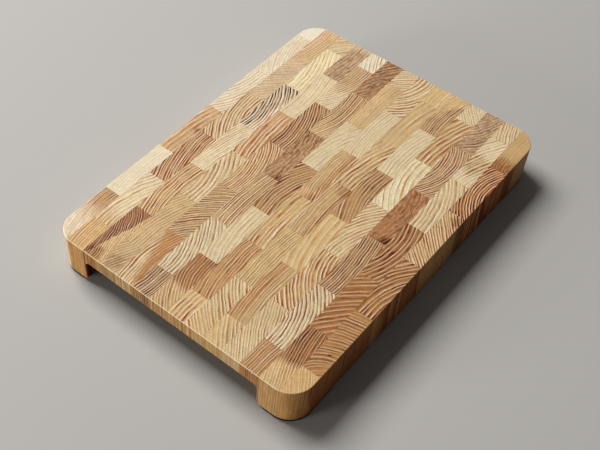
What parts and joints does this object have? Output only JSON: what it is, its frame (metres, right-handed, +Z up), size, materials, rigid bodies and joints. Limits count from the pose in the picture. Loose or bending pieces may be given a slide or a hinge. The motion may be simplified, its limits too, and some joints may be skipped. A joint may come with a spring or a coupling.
{
  "type": "end-grain cutting board",
  "caption": "Butcher block cutting board of end-grain blocks in a running bond, with rounded corners and side legs that leave an open slot underneath.",
  "frame": {"origin": "centre of the footprint, on the surface that the rubber feet stand on", "axes": "+X across the board to the right as seen from the front, +Y along the board from the front end to the back end, +Z up"},
  "size_m": [0.3, 0.42, 0.0475],
  "materials": {
    "wood": "oiled end grain, satin",
    "rubber": "matte"
  },
  "bodies": {
    "root": {"strip_01": "wood", "strip_02": "wood", "strip_03": "wood", "strip_04": "wood", "strip_05": "wood", "strip_06": "wood", "strip_07": "wood", "strip_08": "wood", "strip_09": "wood", "strip_10": "wood", "strip_11": "wood", "strip_12": "wood", "strip_13": "wood", "strip_14": "wood", "foot_front_left": "rubber", "foot_front_right": "rubber", "foot_back_left": "rubber", "foot_back_right": "rubber"}
  },
  "joints": []
}
